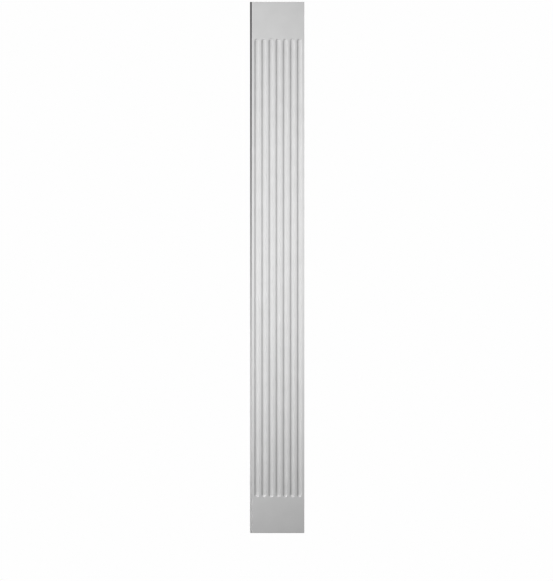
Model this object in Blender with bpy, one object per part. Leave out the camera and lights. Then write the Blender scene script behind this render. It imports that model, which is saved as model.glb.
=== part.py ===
"""Fluted pilaster, a flat wall column moulded in one piece.

Seen from the front, +X is to the right and +Z is up, and the fluted face looks along -Y. The origin is
the centre of the flat back, the face that is fixed against the wall.
"""
import math

import bmesh
import bpy
from mathutils import Matrix

# Driving dimensions, in metres
HEIGHT = 2.286
WIDTH = 0.2286
THICKNESS = 0.0508
ARRIS_RADIUS = 0.0015

# The flutes, and the plain blocks left above and below them
FLUTE_COUNT = 7
FLUTE_DEPTH = 0.0075
FILLET_WIDTH = 0.0095
SIDE_MARGIN = 0.011
HEAD_BLOCK = 0.158
FOOT_BLOCK = 0.154

# How finely the round shapes are cut into flats
ARRIS_SEGMENTS = 3
FLUTE_SEGMENTS = 48
WELD_DISTANCE = 0.000001

# What the fillets and the two margins leave is shared between the flutes
FLUTE_WIDTH = (WIDTH - 2 * SIDE_MARGIN - (FLUTE_COUNT - 1) * FILLET_WIDTH) / FLUTE_COUNT
FLUTE_PITCH = FLUTE_WIDTH + FILLET_WIDTH

# A flute is part of a round bar's surface, whose axis runs in front of the face
FLUTE_RADIUS = (FLUTE_WIDTH ** 2 / 4 + FLUTE_DEPTH ** 2) / (2 * FLUTE_DEPTH)
FLUTE_AXIS_Y = -THICKNESS + FLUTE_DEPTH - FLUTE_RADIUS


def clear_scene():
    """Remove every object of the start-up scene."""
    for existing in list(bpy.data.objects):
        bpy.data.objects.remove(existing, do_unlink=True)


def make_primed_material():
    """Factory-primed rigid polyurethane: off-white, with a dull eggshell sheen."""
    material = bpy.data.materials.new("primed_polyurethane")
    material.use_nodes = True
    shader = material.node_tree.nodes["Principled BSDF"]
    shader.inputs["Base Color"].default_value = (0.80, 0.80, 0.79, 1.0)
    shader.inputs["Roughness"].default_value = 0.55
    shader.inputs["Metallic"].default_value = 0.0
    return material


def add_object(name, shape):
    """Turn a bmesh into a smooth-shaded object with sharp edges where its flats meet."""
    mesh = bpy.data.meshes.new(name)
    shape.to_mesh(mesh)
    shape.free()
    mesh.shade_smooth()
    mesh.set_sharp_from_angle(angle=math.radians(30))
    piece = bpy.data.objects.new(name, mesh)
    bpy.context.scene.collection.objects.link(piece)
    return piece


def make_block(name):
    """The plain board: a flat back with sharp edges, and every other edge eased."""
    shape = bmesh.new()
    size = Matrix.Diagonal((WIDTH, THICKNESS, HEIGHT, 1.0))
    back_at_origin = Matrix.Translation((0, -THICKNESS / 2, 0))
    bmesh.ops.create_cube(shape, size=1.0, matrix=back_at_origin @ size)
    front_corners = [corner for corner in shape.verts if corner.co.y < -THICKNESS / 2]
    eased_edges = {edge for corner in front_corners for edge in corner.link_edges}
    bmesh.ops.bevel(
        shape,
        geom=sorted(eased_edges, key=lambda edge: edge.index),
        offset=ARRIS_RADIUS,
        segments=ARRIS_SEGMENTS,
        profile=0.5,
        affect="EDGES",
        material=-1,
    )
    return add_object(name, shape)


def make_flute_cutter(name, centre_x):
    """A round bar with ball ends, standing upright, that scoops out one flute."""
    end_radius = FLUTE_WIDTH / 2
    top_centre_z = HEIGHT / 2 - HEAD_BLOCK - end_radius
    foot_centre_z = -HEIGHT / 2 + FOOT_BLOCK + end_radius
    quarter_steps = FLUTE_SEGMENTS // 4
    shape = bmesh.new()
    profile = []
    for end_z, first_turn in ((top_centre_z, math.pi / 2), (foot_centre_z, 0.0)):
        for step in range(quarter_steps + 1):
            turn = first_turn - math.pi / 2 * step / quarter_steps
            point = (FLUTE_RADIUS * math.cos(turn), 0, end_z + FLUTE_RADIUS * math.sin(turn))
            profile.append(shape.verts.new(point))
    for upper, lower in zip(profile, profile[1:]):
        shape.edges.new((upper, lower))
    bmesh.ops.spin(
        shape,
        geom=shape.verts[:] + shape.edges[:],
        axis=(0, 0, 1),
        cent=(0, 0, 0),
        steps=FLUTE_SEGMENTS,
        angle=math.tau,
        use_merge=True,
    )
    bmesh.ops.remove_doubles(shape, verts=shape.verts, dist=WELD_DISTANCE)
    bmesh.ops.recalc_face_normals(shape, faces=shape.faces)
    bmesh.ops.translate(shape, verts=shape.verts, vec=(centre_x, FLUTE_AXIS_Y, 0))
    cutter = add_object(name, shape)
    cutter.hide_render = True
    cutter.display_type = "WIRE"
    return cutter


def cut_with(piece, cutter):
    """Scoop the cutter's shape out of a piece."""
    cut = piece.modifiers.new(cutter.name, "BOOLEAN")
    cut.operation = "DIFFERENCE"
    cut.solver = "EXACT"
    cut.object = cutter


def build():
    """Model the pilaster: one board with a row of flutes down its face."""
    clear_scene()
    pilaster = make_block("pilaster")
    pilaster.data.materials.append(make_primed_material())
    first_flute_x = -WIDTH / 2 + SIDE_MARGIN + FLUTE_WIDTH / 2
    for number in range(FLUTE_COUNT):
        centre_x = first_flute_x + number * FLUTE_PITCH
        cut_with(pilaster, make_flute_cutter(f"flute_cutter_{number + 1}", centre_x))


build()
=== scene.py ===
import math

import bmesh
import bpy
from bpy.props import FloatProperty, FloatVectorProperty, IntProperty, PointerProperty
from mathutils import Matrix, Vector


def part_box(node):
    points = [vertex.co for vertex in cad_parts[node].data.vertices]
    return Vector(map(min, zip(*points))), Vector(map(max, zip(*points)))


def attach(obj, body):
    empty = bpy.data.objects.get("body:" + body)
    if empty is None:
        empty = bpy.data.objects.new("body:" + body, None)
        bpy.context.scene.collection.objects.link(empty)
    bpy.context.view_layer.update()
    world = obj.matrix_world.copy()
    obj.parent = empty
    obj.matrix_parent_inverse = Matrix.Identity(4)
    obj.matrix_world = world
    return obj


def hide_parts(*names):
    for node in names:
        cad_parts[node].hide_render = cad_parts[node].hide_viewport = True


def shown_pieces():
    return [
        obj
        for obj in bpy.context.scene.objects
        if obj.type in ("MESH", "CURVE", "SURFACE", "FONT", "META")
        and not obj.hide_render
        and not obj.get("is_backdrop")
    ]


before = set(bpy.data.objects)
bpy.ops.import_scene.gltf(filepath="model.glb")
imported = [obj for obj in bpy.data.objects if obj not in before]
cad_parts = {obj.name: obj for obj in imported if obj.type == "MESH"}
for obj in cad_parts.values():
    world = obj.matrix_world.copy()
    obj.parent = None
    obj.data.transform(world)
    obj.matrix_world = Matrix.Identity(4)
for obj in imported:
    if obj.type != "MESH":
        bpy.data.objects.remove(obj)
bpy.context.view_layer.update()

bl_info = {
    "name": "Fluted pilaster",
    "version": (1, 0, 0),
    "blender": (4, 5, 0),
    "location": "3D View > Sidebar > Pilaster",
    "description": "A moulded and primed fluted pilaster, and the studio it is photographed in",
    "category": "Add Mesh",
}

NODE = "pilaster"
BODY = "root"

# Shortest distance between two vertices that are kept apart, in metres
WELD = 0.00001
MILLIMETRE = 0.001

# Height that the studio's main lamps are aimed at
AIM_HEIGHT = 0.1


def linear_from_hex(code):
    """Linear red, green and blue of an sRGB colour written as six hex digits."""
    levels = [int(code[start:start + 2], 16) / 255 for start in (0, 2, 4)]
    return [
        level / 12.92 if level <= 0.04045 else ((level + 0.055) / 1.055) ** 2.4
        for level in levels
    ]


class PilasterSizes(bpy.types.PropertyGroup):
    """Sizes of the moulding that its outer box doesn't give."""

    flute_count: IntProperty(
        name="Flutes",
        description="How many flutes run down the face",
        default=7, min=1,
    )
    flute_depth: FloatProperty(
        name="Flute depth",
        description="How far a flute's bottom lies below the face",
        default=0.0075, unit="LENGTH", subtype="DISTANCE",
    )
    fillet_width: FloatProperty(
        name="Fillet width",
        description="Flat left between two flutes",
        default=0.0095, unit="LENGTH", subtype="DISTANCE",
    )
    side_margin: FloatProperty(
        name="Side margin",
        description="Flat left between the outer flutes and the sides",
        default=0.011, unit="LENGTH", subtype="DISTANCE",
    )
    head_block: FloatProperty(
        name="Head block",
        description="Plain height above the flutes",
        default=0.158, unit="LENGTH", subtype="DISTANCE",
    )
    foot_block: FloatProperty(
        name="Foot block",
        description="Plain height below the flutes",
        default=0.154, unit="LENGTH", subtype="DISTANCE",
    )
    arris_radius: FloatProperty(
        name="Arris radius",
        description="Rounding of the front and corner edges",
        default=0.0015, unit="LENGTH", subtype="DISTANCE",
    )
    lip_radius: FloatProperty(
        name="Lip radius",
        description="Rounding where a flute meets the face",
        default=0.0007, unit="LENGTH", subtype="DISTANCE",
    )


class PilasterFinish(bpy.types.PropertyGroup):
    """Colours of the two surfaces."""

    primer_colour: FloatVectorProperty(
        name="Primer",
        description="Sprayed primer on the face, sides and ends",
        default=linear_from_hex("D5D5D5"), subtype="COLOR", min=0, max=1,
    )
    thin_primer_colour: FloatVectorProperty(
        name="Thin primer",
        description="Primer where the spray fell thinner",
        default=linear_from_hex("D1D1D1"), subtype="COLOR", min=0, max=1,
    )
    foam_colour: FloatVectorProperty(
        name="Bare foam",
        description="Rigid foam skin on the back",
        default=linear_from_hex("E4E0D6"), subtype="COLOR", min=0, max=1,
    )
    # Painted shade: a darker colour that stands in for the shade inside the foam's pores
    pore_shade_colour: FloatVectorProperty(
        name="Painted pore shade",
        description="Shaded pores in the foam of the back",
        default=linear_from_hex("C9C3B4"), subtype="COLOR", min=0, max=1,
    )


class PilasterStudio(bpy.types.PropertyGroup):
    """Where the camera stands, and how bright the lamps are."""

    camera_distance: FloatProperty(
        name="Camera distance",
        description="From the face to the lens, which sees without perspective",
        default=8.0, unit="LENGTH", subtype="DISTANCE",
    )
    camera_turn: FloatProperty(
        name="Camera turn",
        description="How far left of straight ahead the camera stands",
        default=math.radians(9.5), unit="ROTATION", subtype="ANGLE",
    )
    front_power: FloatProperty(
        name="Front power",
        description="Softbox straight ahead",
        default=26.2, unit="POWER",
    )
    low_left_power: FloatProperty(
        name="Low left power",
        description="Softbox low on the left, which shades the flutes",
        default=6.6, unit="POWER",
    )
    high_left_power: FloatProperty(
        name="High left power",
        description="Softbox high on the left",
        default=45.0, unit="POWER",
    )
    raking_power: FloatProperty(
        name="Raking power",
        description="Softbox far round to the left, which picks out the flutes' right walls",
        default=31.8, unit="POWER",
    )
    side_power: FloatProperty(
        name="Side power",
        description="Low softbox behind the left side's front edge, which lights that side",
        default=18.3, unit="POWER",
    )
    rear_power: FloatProperty(
        name="Rear power", description="Lamps that light the right side, the back and the top",
        default=50.0, unit="POWER",
    )
    floor_strength: FloatProperty(
        name="Floor light",
        description="Sunlight that whitens the floor, in watts a square metre",
        default=3.7,
    )
    fill_level: FloatProperty(
        name="Fill",
        description="Light that comes evenly from all around",
        default=0.01, min=0, max=1, subtype="FACTOR",
    )


class FluteLayout:
    """Places and widths that follow from the board's box and the sizes."""

    def __init__(self, sizes):
        low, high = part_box(NODE)
        self.low, self.high = low, high
        self.width = high.x - low.x
        self.thickness = high.y - low.y
        self.face_y = low.y
        flats = 2 * sizes.side_margin + (sizes.flute_count - 1) * sizes.fillet_width
        self.half_width = (self.width - flats) / sizes.flute_count / 2
        if self.half_width <= sizes.lip_radius:
            raise ValueError("the fillets and margins leave no room for the flutes")
        self.half_pitch = self.half_width + sizes.fillet_width / 2
        self.head_centre_z = high.z - sizes.head_block - self.half_width
        self.foot_centre_z = low.z + sizes.foot_block + self.half_width
        self.first_x = low.x + sizes.side_margin + self.half_width
        self.side_flat = sizes.side_margin - sizes.fillet_width / 2
        self.head_flat = sizes.head_block - sizes.fillet_width / 2
        self.foot_flat = sizes.foot_block - sizes.fillet_width / 2


def flute_half_section(sizes, layout):
    """Points from the middle of a flute, up its wall and over its lip, to the middle of the fillet."""
    wall_steps, lip_steps = 14, 5
    depth, lip = sizes.flute_depth, sizes.lip_radius
    radius = (layout.half_width ** 2 + depth ** 2) / (2 * depth)
    axis_y = layout.face_y + depth - radius
    lip_x = math.sqrt((radius + lip) ** 2 - (radius - depth + lip) ** 2)
    steepest = math.asin(lip_x / (radius + lip))
    points = []
    for step in range(wall_steps + 1):
        lean = steepest * step / wall_steps
        points.append((radius * math.sin(lean), axis_y + radius * math.cos(lean)))
    for step in range(1, lip_steps + 1):
        lean = steepest * (1 - step / lip_steps)
        points.append((lip_x - lip * math.sin(lean), layout.face_y + lip - lip * math.cos(lean)))
    points.append((layout.half_pitch, layout.face_y))
    return points


def add_chain(shape, points, z):
    """Vertices along a section at one height, joined by edges."""
    chain = [shape.verts.new((x, y, z)) for x, y in points]
    return chain + [shape.edges.new(pair) for pair in zip(chain, chain[1:])]


def new_parts(made, kind):
    """The new vertices or edges among what an operator made."""
    return [part for part in made["geom"] if isinstance(part, kind)]


def add_flute_end(shape, section, layout, centre_z, half_turn):
    """Turn the half section about a flute's end, and square its outer ring so that it fills its cell."""
    end_steps = 32
    before = set(shape.verts)
    chain = add_chain(shape, section, centre_z)
    bmesh.ops.spin(
        shape, geom=chain, cent=(0, 0, centre_z), axis=(0, -1, 0), angle=half_turn, steps=end_steps,
    )
    for corner in set(shape.verts) - before:
        reach_x, reach_z = corner.co.x, corner.co.z - centre_z
        if math.hypot(reach_x, reach_z) > layout.half_pitch - WELD:
            stretch = layout.half_pitch / max(abs(reach_x), abs(reach_z))
            corner.co.x = reach_x * stretch
            corner.co.z = centre_z + reach_z * stretch


def add_trough(shape, section, layout):
    """The straight length of a flute between its two round ends."""
    across = [(-x, y) for x, y in reversed(section[1:])] + section
    chain = add_chain(shape, across, layout.head_centre_z)
    edges = [part for part in chain if isinstance(part, bmesh.types.BMEdge)]
    grown = bmesh.ops.extrude_edge_only(shape, edges=edges)
    drop = layout.foot_centre_z - layout.head_centre_z
    bmesh.ops.translate(shape, verts=new_parts(grown, bmesh.types.BMVert), vec=(0, 0, drop))


def widen(shape, axis, side, distance):
    """Carry the flat sheet's edge on one side outwards, square to that edge."""
    outer = max(side * corner.co[axis] for corner in shape.verts)
    rim = [
        edge for edge in shape.edges
        if all(abs(side * corner.co[axis] - outer) < WELD for corner in edge.verts)
    ]
    grown = bmesh.ops.extrude_edge_only(shape, edges=rim)
    step = Vector()
    step[axis] = side * distance
    bmesh.ops.translate(shape, verts=new_parts(grown, bmesh.types.BMVert), vec=step)


def add_board(shape, sizes, layout):
    """Give the fluted sheet its sides and its flat back, and ease its front and corner edges."""
    arris_steps = 5
    rim = [edge for edge in shape.edges if edge.is_boundary]
    grown = bmesh.ops.extrude_edge_only(shape, edges=rim)
    bmesh.ops.translate(shape, verts=new_parts(grown, bmesh.types.BMVert), vec=(0, layout.thickness, 0))
    back_rim = [edge for edge in new_parts(grown, bmesh.types.BMEdge) if edge.is_boundary]
    back = bmesh.ops.contextual_create(shape, geom=back_rim)["faces"]
    bmesh.ops.recalc_face_normals(shape, faces=shape.faces)
    for face in back:
        face.material_index = 1
    corners = [
        edge for edge in shape.edges
        if abs(edge.verts[0].co.y - edge.verts[1].co.y) > layout.thickness / 2
        and abs(edge.verts[0].co.x) > layout.high.x - WELD
        and layout.high.z - abs(edge.verts[0].co.z) < WELD
    ]
    bmesh.ops.bevel(
        shape, geom=rim + corners, offset=sizes.arris_radius, segments=arris_steps, profile=0.5,
        affect="EDGES", material=-1,
    )


def build_moulding(sizes):
    """The whole moulding as one closed mesh."""
    layout = FluteLayout(sizes)
    section = flute_half_section(sizes, layout)
    shape = bmesh.new()
    add_flute_end(shape, section, layout, layout.head_centre_z, math.pi)
    add_trough(shape, section, layout)
    add_flute_end(shape, section, layout, layout.foot_centre_z, -math.pi)
    bmesh.ops.remove_doubles(shape, verts=shape.verts, dist=WELD)
    bmesh.ops.translate(shape, verts=shape.verts, vec=(layout.first_x, 0, 0))
    first_flute = shape.verts[:] + shape.edges[:] + shape.faces[:]
    for number in range(1, sizes.flute_count):
        copy = bmesh.ops.duplicate(shape, geom=first_flute)
        step = Vector((2 * layout.half_pitch * number, 0, 0))
        bmesh.ops.translate(shape, verts=new_parts(copy, bmesh.types.BMVert), vec=step)
    bmesh.ops.remove_doubles(shape, verts=shape.verts, dist=WELD)
    widen(shape, 0, -1, layout.side_flat)
    widen(shape, 0, 1, layout.side_flat)
    widen(shape, 2, 1, layout.head_flat)
    widen(shape, 2, -1, layout.foot_flat)
    add_board(shape, sizes, layout)
    return shape


def finish_mesh(name, shape, materials):
    """Make a smooth-shaded piece of a bmesh, flat where it is flat."""
    sharpest_smooth_edge = math.radians(50)
    mesh = bpy.data.meshes.new(name)
    shape.to_mesh(mesh)
    shape.free()
    for material in materials:
        mesh.materials.append(material)
    mesh.shade_smooth()
    mesh.set_sharp_from_angle(angle=sharpest_smooth_edge)
    piece = bpy.data.objects.new(name, mesh)
    bpy.context.scene.collection.objects.link(piece)
    even = piece.modifiers.new("flat faces stay flat", "WEIGHTED_NORMAL")
    even.mode = "FACE_AREA"
    even.weight = 100
    even.keep_sharp = True
    return piece


def add_node(tree, kind, settings=None, links=None):
    """Add a shader node, set its properties and sockets, and link sockets of other nodes into it."""
    node = tree.nodes.new(kind)
    for key, value in (settings or {}).items():
        if key in node.inputs:
            node.inputs[key].default_value = value
        else:
            setattr(node, key, value)
    for key, source in (links or {}).items():
        tree.links.new(source, node.inputs[key])
    return node


def new_surface(name):
    """An empty material with a Principled shader, and the object's own coordinates in metres."""
    material = bpy.data.materials.new(name)
    material.use_nodes = True
    tree = material.node_tree
    shader = tree.nodes["Principled BSDF"]
    place = add_node(tree, "ShaderNodeTexCoord").outputs["Object"]
    return material, tree, shader, place


def add_tint(tree, shader, colour, other_colour, share):
    """Mix two colours by a share, and colour the surface with them."""
    # Places of the colour sockets, because the node's sockets for numbers and colours share their names
    mix_share, mix_first, mix_second, mix_result = 0, 6, 7, 2
    tint = add_node(tree, "ShaderNodeMix", {"data_type": "RGBA"}, {mix_share: share})
    tint.inputs[mix_first].default_value = (*colour, 1)
    tint.inputs[mix_second].default_value = (*other_colour, 1)
    tree.links.new(tint.outputs[mix_result], shader.inputs["Base Color"])


def sprayed_primer(finish):
    """Primed rigid polyurethane: moulded foam with a hard skin, sprayed with white primer.

    The spray leaves a dull eggshell sheen, a fine orange peel, and faint clouds where it fell thinner.
    """
    material, tree, shader, place = new_surface("sprayed_primer")
    cloud_size = 60 * MILLIMETRE
    peel_size = 2.2 * MILLIMETRE
    peel_height = 0.006 * MILLIMETRE
    cloud = add_node(
        tree, "ShaderNodeTexNoise",
        {"Scale": 1 / cloud_size, "Detail": 4.0, "Roughness": 0.55}, {"Vector": place},
    )
    thinness = add_node(
        tree, "ShaderNodeMapRange", {"From Min": 0.35, "From Max": 0.7}, {"Value": cloud.outputs["Fac"]},
    )
    add_tint(tree, shader, finish.primer_colour, finish.thin_primer_colour, thinness.outputs["Result"])
    sheen = add_node(
        tree, "ShaderNodeMapRange", {"To Min": 0.5, "To Max": 0.6}, {"Value": cloud.outputs["Fac"]},
    )
    tree.links.new(sheen.outputs["Result"], shader.inputs["Roughness"])
    peel = add_node(
        tree, "ShaderNodeTexNoise", {"Scale": 1 / peel_size, "Detail": 2.0}, {"Vector": place},
    )
    bump = add_node(
        tree, "ShaderNodeBump", {"Strength": 1.0, "Distance": peel_height}, {"Height": peel.outputs["Fac"]},
    )
    tree.links.new(bump.outputs["Normal"], shader.inputs["Normal"])
    return material


def bare_foam(finish):
    """Back of the moulding: rigid polyurethane foam struck off flat in its open mould, with small pores
    darkened by painted shade.
    """
    material, tree, shader, place = new_surface("bare_foam_back")
    pore_size = 2.5 * MILLIMETRE
    pores = add_node(
        tree, "ShaderNodeTexVoronoi", {"Scale": 1 / pore_size, "Randomness": 1.0}, {"Vector": place},
    )
    # Painted shade: the pores are only darker colour, standing in for the shade inside them, with no hollow
    # in the geometry
    pore_shade_edge = {"From Min": 0.08, "From Max": 0.22, "To Min": 1.0, "To Max": 0.0}
    pore_shade_mask = add_node(tree, "ShaderNodeMapRange", pore_shade_edge, {"Value": pores.outputs["Distance"]})
    add_tint(tree, shader, finish.foam_colour, finish.pore_shade_colour, pore_shade_mask.outputs["Result"])
    shader.inputs["Roughness"].default_value = 0.8
    return material


class PILASTER_OT_moulding(bpy.types.Operator):
    """Model the fluted moulding and give it its primer"""

    bl_idname = "pilaster.moulding"
    bl_label = "Moulding"

    def execute(self, context):
        scene = context.scene
        shape = build_moulding(scene.pilaster_sizes)
        surfaces = [sprayed_primer(scene.pilaster_finish), bare_foam(scene.pilaster_finish)]
        piece = finish_mesh("fluted_pilaster", shape, surfaces)
        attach(piece, BODY)
        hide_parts(NODE)
        return {"FINISHED"}


def link_lamp(name, lamp, place, aim, receivers, blockers=None):
    """Put a lamp in its place, facing a point, and let it light only the receivers."""
    holder = bpy.data.objects.new(name, lamp)
    holder.location = place
    holder.rotation_euler = (Vector(aim) - Vector(place)).to_track_quat("-Z", "Y").to_euler()
    holder.light_linking.receiver_collection = receivers
    if blockers:
        holder.light_linking.blocker_collection = blockers
    bpy.context.scene.collection.objects.link(holder)


def add_softbox(name, place, aim, width, power, receivers):
    """A square softbox."""
    lamp = bpy.data.lights.new(name, "AREA")
    lamp.shape = "SQUARE"
    lamp.size = width
    lamp.energy = power
    link_lamp(name, lamp, place, aim, receivers)


def around(target, turn_degrees, distance, height):
    """A place at a height, a distance away from a point, so far round to the left of the point's front."""
    turn = math.radians(turn_degrees)
    return Vector((target.x - distance * math.sin(turn), target.y - distance * math.cos(turn), height))


def add_face_lamps(studio, layout, work):
    """Four softboxes that shade the face and its flutes, from straight ahead round to the left."""
    width = 0.5
    near, halfway, far = 1.4, 2.0, 3.0
    low, level, high = -0.7, 0.2, 2.2
    ahead, left, far_left = 0, 45, 75
    face = Vector((0, layout.face_y, AIM_HEIGHT))
    for name, place, power in (
        ("front_softbox", around(face, ahead, halfway, level), studio.front_power),
        ("low_left_softbox", around(face, left, near, low), studio.low_left_power),
        ("high_left_softbox", around(face, left, far, high), studio.high_left_power),
        ("raking_softbox", around(face, far_left, far, high), studio.raking_power),
    ):
        add_softbox(name, place, face, width, power, work)


def add_side_lamp(studio, layout, work):
    """A low softbox that lights the left side, brightest towards its foot."""
    turn, distance, height, width = 100, 1.42, -0.57, 0.5
    side = Vector((layout.low.x, layout.face_y / 2, height))
    place = around(side, turn, distance, height)
    add_softbox("side_lamp", place, side, width, studio.side_power, work)


def add_rear_lamps(studio, work):
    """Two large softboxes behind, which light the right side, the back and the top."""
    width = 1.2
    right_place, high_place = (1.84, 2.19, 0.4), (0.9, 1.9, 2.2)
    back = Vector((0, 0, AIM_HEIGHT))
    add_softbox("right_rear_softbox", right_place, back, width, studio.rear_power, work)
    add_softbox("high_rear_softbox", high_place, back, width, studio.rear_power, work)


def add_floor_lamp(studio, layout, ground, work):
    """Soft sunlight from above that lights the floor alone and leaves the pilaster's faint shadow on it."""
    place = (-1.0, -1.0, 4.0)
    sun = bpy.data.lights.new("floor_sun", "SUN")
    sun.energy = studio.floor_strength
    sun.angle = math.radians(40)
    link_lamp("floor_sun", sun, place, (0, 0, layout.low.z), ground, work)


def collect(name, members):
    """A collection that a lamp can be told to light."""
    group = bpy.data.collections.new(name)
    for member in members:
        group.objects.link(member)
    return group


def add_floor(layout):
    """A wide pale floor at the pilaster's foot, which sends no light back up."""
    radius = 14.0
    shape = bmesh.new()
    bmesh.ops.create_circle(shape, cap_ends=True, segments=96, radius=radius)
    bmesh.ops.translate(shape, verts=shape.verts, vec=(0, 0, layout.low.z))
    mesh = bpy.data.meshes.new("studio_floor")
    shape.to_mesh(mesh)
    shape.free()
    material, _, shader, _ = new_surface("matt_white_floor")
    shader.inputs["Base Color"].default_value = (*linear_from_hex("F2F2F2"), 1)
    shader.inputs["Roughness"].default_value = 0.9
    mesh.materials.append(material)
    floor = bpy.data.objects.new("studio_floor", mesh)
    floor.visible_diffuse = False
    floor.visible_glossy = False
    bpy.context.scene.collection.objects.link(floor)
    floor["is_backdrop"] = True
    return floor


def set_world(fill_level):
    """White behind the object, and a dim even fill everywhere else."""
    scene = bpy.context.scene
    world = bpy.data.worlds.new("white studio")
    world.use_nodes = True
    tree = world.node_tree
    tree.nodes.clear()
    white = (*linear_from_hex("FEFEFE"), 1)
    seen = add_node(tree, "ShaderNodeBackground", {"Color": white, "Strength": 1.0})
    fill = add_node(tree, "ShaderNodeBackground", {"Color": (1, 1, 1, 1), "Strength": fill_level})
    ray = add_node(tree, "ShaderNodeLightPath")
    share, first, second = 0, 1, 2
    sources = {
        share: ray.outputs["Is Camera Ray"],
        first: fill.outputs["Background"],
        second: seen.outputs["Background"],
    }
    choose = add_node(tree, "ShaderNodeMixShader", None, sources)
    add_node(tree, "ShaderNodeOutputWorld", None, {"Surface": choose.outputs["Shader"]})
    scene.world = world
    scene.view_settings.view_transform = "Standard"


def add_flag(layout, arris_radius):
    """A narrow black card beside the left arris, in the plane of the face.

    It keeps the front lamps off the left side and casts no shadow on the face.
    """
    width, gap, overhang = 0.25, 0.0005, 0.1
    shape = bmesh.new()
    corner = shape.verts.new((layout.low.x - gap, layout.face_y + arris_radius, layout.low.z - overhang))
    side = bmesh.ops.extrude_vert_indiv(shape, verts=[corner])
    bmesh.ops.translate(shape, verts=side["verts"], vec=(-width, 0, 0))
    card = bmesh.ops.extrude_edge_only(shape, edges=side["edges"])
    height = layout.high.z - layout.low.z + 2 * overhang
    bmesh.ops.translate(shape, verts=new_parts(card, bmesh.types.BMVert), vec=(0, 0, height))
    mesh = bpy.data.meshes.new("side_flag")
    shape.to_mesh(mesh)
    shape.free()
    flag = bpy.data.objects.new("side_flag", mesh)
    flag.visible_camera = flag.visible_diffuse = flag.visible_glossy = flag.visible_transmission = False
    bpy.context.scene.collection.objects.link(flag)
    flag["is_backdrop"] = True


def add_camera(studio, layout):
    """A level camera without perspective, standing a little to the left."""
    picture_height, picture_width = 581, 553
    top_px, bottom_px, left_px, right_px = 1.87, 533.0, 249.7, 304.6
    metres_per_px = (layout.high.z - layout.low.z) / (bottom_px - top_px)
    turn = studio.camera_turn
    forward = Vector((math.sin(turn), math.cos(turn), 0))
    right = Vector((math.cos(turn), -math.sin(turn), 0))
    outline_left = right.dot(Vector((layout.low.x, layout.high.y, 0)))
    outline_right = right.dot(Vector((layout.high.x, layout.face_y, 0)))
    across = (outline_left + outline_right) / 2
    across -= ((left_px + right_px) / 2 - picture_width / 2) * metres_per_px
    height = (layout.high.z + layout.low.z) / 2
    height += ((top_px + bottom_px) / 2 - picture_height / 2) * metres_per_px
    lens = bpy.data.cameras.new("flat_view")
    lens.type = "ORTHO"
    lens.ortho_scale = picture_height * metres_per_px
    camera = bpy.data.objects.new("camera", lens)
    camera.location = right * across + Vector((0, 0, height)) - forward * studio.camera_distance
    camera.rotation_euler = forward.to_track_quat("-Z", "Y").to_euler()
    bpy.context.scene.collection.objects.link(camera)
    bpy.context.scene.camera = camera


class PILASTER_OT_studio(bpy.types.Operator):
    """Set up the floor, the white background, the lamps and the camera"""

    bl_idname = "pilaster.studio"
    bl_label = "Studio"

    def execute(self, context):
        studio = context.scene.pilaster_studio
        layout = FluteLayout(context.scene.pilaster_sizes)
        floor = add_floor(layout)
        work = collect("lit by the studio lamps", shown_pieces())
        ground = collect("lit by the floor lamp", [floor])
        add_face_lamps(studio, layout, work)
        add_side_lamp(studio, layout, work)
        add_rear_lamps(studio, work)
        add_floor_lamp(studio, layout, ground, work)
        add_flag(layout, context.scene.pilaster_sizes.arris_radius)
        set_world(studio.fill_level)
        add_camera(studio, layout)
        return {"FINISHED"}


class PILASTER_PT_sidebar(bpy.types.Panel):
    """Buttons and values in the 3D view's sidebar"""

    bl_idname = "PILASTER_PT_sidebar"
    bl_label = "Fluted pilaster"
    bl_space_type = "VIEW_3D"
    bl_region_type = "UI"
    bl_category = "Pilaster"

    def draw(self, context):
        for group in GROUPS:
            values = getattr(context.scene, group)
            column = self.layout.column(align=True)
            for key in values.bl_rna.properties.keys():
                if key not in ("rna_type", "name"):
                    column.prop(values, key)
        for operator in OPERATORS:
            self.layout.operator(operator.bl_idname)


GROUPS = {
    "pilaster_sizes": PilasterSizes,
    "pilaster_finish": PilasterFinish,
    "pilaster_studio": PilasterStudio,
}
OPERATORS = (PILASTER_OT_moulding, PILASTER_OT_studio)
CLASSES = (*GROUPS.values(), *OPERATORS, PILASTER_PT_sidebar)


def register():
    """Add the classes, and their values to the scene."""
    for each in CLASSES:
        bpy.utils.register_class(each)
    for name, group in GROUPS.items():
        setattr(bpy.types.Scene, name, PointerProperty(type=group))


def unregister():
    """Take away what register added."""
    for name in GROUPS:
        delattr(bpy.types.Scene, name)
    for each in reversed(CLASSES):
        bpy.utils.unregister_class(each)


def main():
    """Clear the start-up objects, then build the moulding and its studio."""
    for name in ("Cube", "Light", "Camera"):
        if name in bpy.data.objects:
            bpy.data.objects.remove(bpy.data.objects[name], do_unlink=True)
    register()
    bpy.ops.pilaster.moulding()
    bpy.ops.pilaster.studio()


if __name__ == "__main__":
    main()
